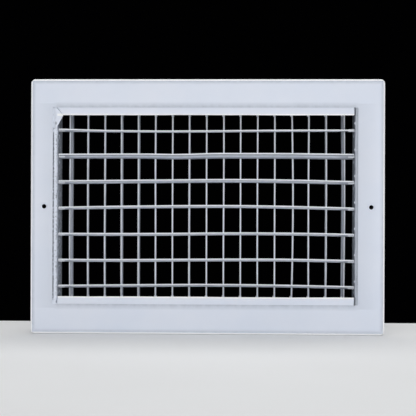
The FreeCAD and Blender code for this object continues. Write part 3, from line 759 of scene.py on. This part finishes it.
class Nodes:
    """A material's node tree, with short ways to add and join nodes."""

    def __init__(self, name):
        self.material = bpy.data.materials.new(name)
        self.material.use_nodes = True
        self.tree = self.material.node_tree
        self.shader = self.tree.nodes["Principled BSDF"]
        self.place = self.add("ShaderNodeTexCoord").outputs["Object"]

    def add(self, kind, **settings):
        node = self.tree.nodes.new(kind)
        for name, value in settings.items():
            setattr(node, name, value)
        return node

    def join(self, output, socket):
        self.tree.links.new(output, socket)

    def noise(self, scale, detail=2.0, roughness=0.5, place=None):
        node = self.add("ShaderNodeTexNoise")
        self.join(place or self.place, node.inputs["Vector"])
        node.inputs["Scale"].default_value = scale
        node.inputs["Detail"].default_value = detail
        node.inputs["Roughness"].default_value = roughness
        return node.outputs["Fac"]

    def stretched(self, scale):
        node = self.add("ShaderNodeMapping")
        self.join(self.place, node.inputs["Vector"])
        node.inputs["Scale"].default_value = scale
        return node.outputs["Vector"]

    def mapped(self, output, low, high, new_low, new_high):
        node = self.add("ShaderNodeMapRange")
        self.join(output, node.inputs["Value"])
        for name, value in zip(("From Min", "From Max", "To Min", "To Max"), (low, high, new_low, new_high)):
            node.inputs[name].default_value = value
        return node.outputs["Result"]

    def maths(self, operation, first, second):
        node = self.add("ShaderNodeMath", operation=operation)
        for socket, value in zip(node.inputs, (first, second)):
            if isinstance(value, (int, float)):
                socket.default_value = value
            else:
                self.join(value, socket)
        return node.outputs["Value"]

    def blended(self, share, first, second):
        """One colour turning into another; each is a colour or a node's output."""
        node = self.add("ShaderNodeMix", data_type="RGBA")
        self.join(share, node.inputs["Factor"])
        for socket, value in ((node.inputs[6], first), (node.inputs[7], second)):
            if isinstance(value, tuple):
                socket.default_value = (*value, 1.0)
            else:
                self.join(value, socket)
        return node.outputs[2]

    def bumped(self, *layers):
        """Bump from (height output, distance in metres) layers."""
        normal = None
        for height, distance in layers:
            node = self.add("ShaderNodeBump")
            node.inputs["Strength"].default_value = 1.0
            node.inputs["Distance"].default_value = distance
            self.join(height, node.inputs["Height"])
            if normal is not None:
                self.join(normal, node.inputs["Normal"])
            normal = node.outputs["Normal"]
        self.join(normal, self.shader.inputs["Normal"])

    def axes(self):
        """The piece's own X, Y and Z, in metres."""
        node = self.add("ShaderNodeSeparateXYZ")
        self.join(self.place, node.inputs["Vector"])
        return node.outputs

    def from_core(self):
        """How far sideways and how far up or down from the middle of the core, in metres."""
        x, _, z = self.axes()
        return (self.maths("ABSOLUTE", self.maths("SUBTRACT", x, CORE.x * MM), 0.0),
                self.maths("ABSOLUTE", self.maths("SUBTRACT", z, CORE.z * MM), 0.0))


SEAM_REACH = 5.8            # painted shade above and below the cut-out fades out over this
BAND_REACH = 21.0           # and the band of painted shade beside it over this
WHITE = (0.735, 0.787, 0.895)
WHITE_WARM = (0.77, 0.81, 0.905)
# painted highlight for the blades' noses
NOSE_HIGHLIGHT = (0.88, 0.91, 0.96)
# painted highlight for the face's rolled outer edge and the strips' folded edges
EDGE_HIGHLIGHT = (0.95, 0.96, 0.98)
# painted shade for the face plate's crease and cut-out
PAINTED_SHADE_GREY = (0.40, 0.44, 0.51)
# dark grey for the patchy side walls and the blades' thin paint, and painted shade on rails and blades
DARK_GREY_AND_SHADE = (0.22, 0.245, 0.28)
ZINC = (0.30, 0.33, 0.37)


def add_enamel(nodes, roughness):
    """Shared look of sprayed enamel: orange peel, faint mottling and uneven gloss."""
    peel = nodes.noise(620, 2.0)
    dust = nodes.noise(2600, 1.0)
    nodes.bumped((peel, 0.00002), (dust, 0.000004))
    gloss = nodes.mapped(nodes.noise(90, 3.0), 0.3, 0.7, roughness - 0.05, roughness + 0.07)
    nodes.join(gloss, nodes.shader.inputs["Roughness"])
    nodes.shader.inputs["Specular IOR Level"].default_value = 0.45
    mottle = nodes.mapped(nodes.noise(14, 4.0, 0.6), 0.35, 0.65, 0.0, 1.0)
    return nodes.blended(mottle, WHITE, WHITE_WARM)


def face_paint():
    """Enamel with painted shade in the crease, above and below the cut-out and in a band beside it, and a
    painted highlight on the rolled outer edge.
    """
    nodes = Nodes("face_paint")
    enamel = add_enamel(nodes, 0.42)
    across, up = nodes.from_core()
    beside = nodes.maths("SUBTRACT", across, OPENING_WIDTH / 2 * MM)
    above = nodes.maths("SUBTRACT", up, OPENING_HEIGHT / 2 * MM)
    patchy = nodes.mapped(nodes.noise(160, 3.0), 0.3, 0.7, 0.75, 1.15)
    # painted shade along the top and bottom edges of the cut-out
    seam = nodes.mapped(above, 0.0, SEAM_REACH * MM, 0.72, 0.0)
    seam = nodes.maths("MULTIPLY", seam, nodes.maths("GREATER_THAN", above, -0.0006))
    seam = nodes.maths("MULTIPLY", seam, nodes.mapped(beside, -0.003, 0.002, 1.0, 0.0))
    # painted shade in a band beside the left and right edges of the cut-out
    band = nodes.mapped(beside, 0.0, BAND_REACH * MM, 0.26, 0.0)
    band = nodes.maths("MULTIPLY", band, nodes.maths("LESS_THAN", above, 0.004))

    half_wide, half_tall = (PLATE_HIGH.x - PLATE_LOW.x) / 2 * MM, (PLATE_HIGH.z - PLATE_LOW.z) / 2 * MM
    x, _, z = nodes.axes()
    inset = nodes.maths("MINIMUM", nodes.maths("SUBTRACT", half_wide, nodes.maths("ABSOLUTE", x, 0.0)),
                        nodes.maths("SUBTRACT", half_tall, nodes.maths("ABSOLUTE", z, 0.0)))
    # painted highlight on the rolled outer edge, out to the crease
    lip = (CREASE_INSET - 0.55) * MM
    enamel = nodes.blended(nodes.mapped(inset, lip, lip + 0.0002, 1.0, 0.0), enamel, EDGE_HIGHLIGHT)
    # painted shade in the crease
    into = nodes.mapped(inset, lip, lip + 0.0003, 0.0, 0.4)
    out_of = nodes.mapped(inset, lip + 0.0010, lip + 0.0036, 0.4, 0.0)
    crease = nodes.maths("MULTIPLY", nodes.maths("MINIMUM", into, out_of), patchy)
    # the seam, band and crease masks together make the painted shade
    painted_shade = nodes.maths("MULTIPLY", seam, patchy)
    painted_shade = nodes.maths("MAXIMUM", painted_shade, nodes.maths("MAXIMUM", band, crease))
    nodes.join(nodes.blended(painted_shade, enamel, PAINTED_SHADE_GREY), nodes.shader.inputs["Base Color"])
    return nodes.material


def rail_paint():
    """Enamel on the strips, with a painted highlight along their folded edge; the walls of the side rails
    turn patchy dark grey behind their front edge, and painted shade darkens the seam beside the cut-out, the
    right rail and the gap at the strips' right ends.
    """
    nodes = Nodes("rail_paint")
    enamel = add_enamel(nodes, 0.45)
    across, up = nodes.from_core()
    strip_edge = (OPENING_HEIGHT / 2 - STRIP_HEIGHT) * MM
    # painted highlight along the strips' folded free edge
    fold = nodes.maths("MINIMUM", nodes.mapped(up, strip_edge - 0.0010, strip_edge - 0.0006, 0.0, 1.0),
                       nodes.mapped(up, strip_edge + 0.0009, strip_edge + 0.0018, 1.0, 0.0))
    fold = nodes.maths("MULTIPLY", fold, nodes.maths("LESS_THAN", across, CORE_HALF * MM))
    enamel = nodes.blended(fold, enamel, EDGE_HIGHLIGHT)
    back = nodes.mapped(nodes.axes()[1], -0.0046, 0.003, 0.0, 0.75)
    blotches = nodes.mapped(nodes.noise(260, 5.0, 0.7), 0.4, 0.6, -0.45, 0.45)
    blotches = nodes.maths("MULTIPLY", blotches, nodes.maths("GREATER_THAN", back, 0.02))
    bare = nodes.maths("ADD", back, blotches)
    spangle = nodes.mapped(nodes.noise(120, 2.0), 0.35, 0.65, 0.0, 1.0)
    zinc = nodes.blended(spangle, DARK_GREY_AND_SHADE, ZINC)
    metal = nodes.blended(nodes.mapped(bare, 0.0, 1.0, 0.0, 1.0), enamel, zinc)
    # painted shade in the seam where the flange sinks beside the plate's cut edge
    beside = nodes.maths("GREATER_THAN", across, (CORE_HALF + 0.6) * MM)
    ragged = nodes.mapped(nodes.noise(420, 3.0), 0.3, 0.7, -0.0007, 0.0007)
    sunk = nodes.mapped(nodes.maths("ADD", nodes.axes()[1], ragged), -0.0048, -0.0042, 0.0, 0.9)
    # painted shade on the right rail, strongest at its wall
    right_wall = (CORE.x + CORE_HALF) * MM
    rim = nodes.maths("MULTIPLY", nodes.mapped(nodes.axes()[0], 0.0, right_wall, 0.0, 0.55),
                      nodes.maths("GREATER_THAN", across, (CORE_HALF - 0.3) * MM))
    # painted shade in the gap at the right ends of the top and bottom strips
    slot = nodes.mapped(across, (CORE_HALF + 0.8) * MM, (CORE_HALF + 1.4) * MM, 1.0, 0.0)
    slot = nodes.maths("MULTIPLY", slot, nodes.maths("GREATER_THAN", up, strip_edge - 0.0004))
    at_right = nodes.maths("GREATER_THAN", nodes.axes()[0], right_wall - 0.3 * MM)
    slot = nodes.maths("MULTIPLY", slot, at_right)
    # the seam, the right rail and the gap together make the painted shade
    painted_seam_shade = nodes.maths("MAXIMUM", rim, nodes.maths("MAXIMUM", slot, nodes.maths("MULTIPLY", beside, sunk)))
    nodes.join(nodes.blended(painted_seam_shade, metal, DARK_GREY_AND_SHADE), nodes.shader.inputs["Base Color"])
    return nodes.material


def blade_paint():
    """Enamel with a painted highlight on the very nose, painted shade in the groove behind it and towards
    the rear edge, and patchy thin paint elsewhere.
    """
    nodes = Nodes("blade_paint")
    enamel = add_enamel(nodes, 0.40)
    across = nodes.add("ShaderNodeAttribute", attribute_name="across").outputs["Fac"]
    # painted highlight on the very nose
    painted_nose_highlight = nodes.mapped(across, 0.04, 0.07, 1.0, 0.0)
    enamel = nodes.blended(painted_nose_highlight, enamel, NOSE_HIGHLIGHT)
    thin = nodes.mapped(nodes.noise(70, 3.0), 0.3, 0.7, 0.05, 0.3)
    # painted shade towards the rear edge
    rear = nodes.mapped(across, 0.60, 0.90, 0.0, 0.7)
    # painted shade in the groove behind the nose
    groove = nodes.maths("MINIMUM", nodes.mapped(across, 0.05, 0.07, 0.0, 0.7),
                         nodes.mapped(across, 0.31, 0.36, 0.7, 0.0))
    # uneven thin paint together with the painted shade
    thin_paint_and_shade = nodes.maths("MAXIMUM", nodes.maths("MAXIMUM", thin, rear), groove)
    thin_paint_and_shade = nodes.maths("MULTIPLY", thin_paint_and_shade, nodes.mapped(across, 0.05, 0.07, 0.0, 1.0))
    nodes.join(nodes.blended(thin_paint_and_shade, enamel, DARK_GREY_AND_SHADE), nodes.shader.inputs["Base Color"])
    return nodes.material


def bright_steel(name, colour, darker, roughness, grain):
    """Rolled steel: fine grain along one direction, with dull patches."""
    nodes = Nodes(name)
    lines = nodes.noise(1.0, 3.0, 0.6, nodes.stretched(grain))
    patches = nodes.mapped(nodes.noise(80, 3.0), 0.3, 0.7, 0.0, 1.0)
    share = nodes.maths("MULTIPLY", nodes.maths("ADD", lines, patches), 0.5)
    nodes.join(nodes.blended(share, colour, darker), nodes.shader.inputs["Base Color"])
    gloss = nodes.mapped(lines, 0.3, 0.7, roughness - 0.08, roughness + 0.1)
    nodes.join(gloss, nodes.shader.inputs["Roughness"])
    nodes.shader.inputs["Metallic"].default_value = 1.0
    nodes.bumped((lines, 0.000008))
    return nodes.material


def floor_material():
    nodes = Nodes("floor_paper")
    grain = nodes.noise(300, 3.0)
    shade = nodes.mapped(nodes.noise(3, 2.0), 0.3, 0.7, 0.0, 1.0)
    paper = nodes.blended(shade, (0.84, 0.85, 0.86), (0.88, 0.89, 0.90))
    nodes.join(paper, nodes.shader.inputs["Base Color"])
    nodes.shader.inputs["Roughness"].default_value = 0.85
    nodes.bumped((grain, 0.00003))
    return nodes.material


def finish_cad_node(name, material, edge):
    """Keep a CAD node's shape, soften its edges and give it its metal."""
    node = frame["nodes"][name]
    node.data.materials.clear()
    node.data.materials.append(material)
    soften = node.modifiers.new("edges", "BEVEL")
    soften.width = edge * MM
    soften.segments = 2
    soften.limit_method = "ANGLE"
    soften.angle_limit = math.radians(50)


# ---------------------------------------------------------------- the studio


def add_floor():
    """A pale sheet under the grille, ending just behind it."""
    low = cad_low.z - 0.0002
    left, right, near, far = -1.3, 1.3, -1.7, 0.13
    count = 13
    verts = [(x, y, low) for y in spread(near, far, count) for x in spread(left, right, count)]
    corners = [j * count + i for j in range(count - 1) for i in range(count - 1)]
    faces = [(n, n + 1, n + count + 1, n + count) for n in corners]
    mesh = bpy.data.meshes.new("floor")
    mesh.from_pydata(verts, [], faces)
    floor = bpy.data.objects.new("floor", mesh)
    bpy.context.scene.collection.objects.link(floor)
    mesh.materials.append(floor_material())


def add_softbox(name, place, target, width, height, power):
    """A rectangular light of a size in metres and a power in watts, aimed at the target."""
    light = bpy.data.lights.new(name, "AREA")
    light.shape = "RECTANGLE"
    light.size = width
    light.size_y = height
    light.energy = power
    holder = bpy.data.objects.new(name, light)
    bpy.context.scene.collection.objects.link(holder)
    holder.location = place
    holder.rotation_euler = (Vector(target) - Vector(place)).to_track_quat("-Z", "Y").to_euler()


def add_lights():
    add_softbox("key_light", (-0.1, -1.9, 0.12), (0, 0, 0), 1.2, 0.7, 10.7)
    add_softbox("right_light", (1.3, -0.9, 0.1), (0, 0, 0), 0.6, 1.0, 6.6)
    add_softbox("left_light", (-1.3, -0.9, 0.1), (0, 0, 0), 0.6, 1.0, 3.4)
    add_softbox("top_light", (0.0, -0.75, 1.4), (0, -0.35, cad_low.z), 1.5, 1.0, 8.8)
    add_softbox("rear_light", (0.1, 0.35, 1.4), (0, -0.35, cad_low.z), 1.4, 0.9, 15.0)
    world = bpy.data.worlds.new("studio")
    bpy.context.scene.world = world
    world.use_nodes = True
    backdrop = world.node_tree.nodes["Background"]
    backdrop.inputs["Color"].default_value = (0.0003, 0.0003, 0.0004, 1.0)
    backdrop.inputs["Strength"].default_value = 1.0


CAMERA_DISTANCE = 1.24      # from the face
CAMERA_ASIDE = 0.0414       # to the right of the grille's middle
CAMERA_TURN = 1.864         # degrees to the left
CAMERA_NOD = -0.048
CAMERA_ROLL = 0.192
CAMERA_LENS = 107.44        # on a 36 mm sensor


def add_camera():
    camera = bpy.data.cameras.new("camera")
    camera.lens = CAMERA_LENS
    camera.sensor_width = 36.0
    camera.clip_start = 0.05
    camera.clip_end = 20.0
    holder = bpy.data.objects.new("camera", camera)
    bpy.context.scene.collection.objects.link(holder)
    look = (Matrix.Rotation(math.radians(CAMERA_TURN), 4, "Z")
            @ Matrix.Rotation(math.radians(90 + CAMERA_NOD), 4, "X")
            @ Matrix.Rotation(math.radians(CAMERA_ROLL), 4, "Z"))
    holder.matrix_world = Matrix.Translation((CAMERA_ASIDE, FACE * MM - CAMERA_DISTANCE, -0.0001)) @ look
    bpy.context.scene.camera = holder


# ---------------------------------------------------------------- the whole

face_enamel = face_paint()
rail_enamel = rail_paint()
blade_enamel = blade_paint()
spring_steel = bright_steel("spring_steel", (0.62, 0.63, 0.65), (0.40, 0.41, 0.43), 0.34, (30, 2400, 30))
rivet_steel = bright_steel("rivet_steel", (0.70, 0.71, 0.73), (0.50, 0.51, 0.53), 0.38, (900, 900, 900))

build_face_plate(face_enamel)
build_level_rail("top_rail", 1, rail_enamel)
build_level_rail("bottom_rail", -1, rail_enamel)
build_side_rail("left_rail", -1, rail_enamel)
build_side_rail("right_rail", 1, rail_enamel)
build_front_blades(blade_enamel)
build_rear_blades(blade_enamel)
for strip in ("top", "bottom", "left", "right"):
    finish_cad_node(strip + "_spring_strip", spring_steel, 0.08)
for rivets in ("corner_rivets", "spring_rivets"):
    finish_cad_node(rivets, rivet_steel, 0.22)

add_floor()
add_lights()
add_camera()
bpy.context.scene.view_settings.view_transform = "Standard"
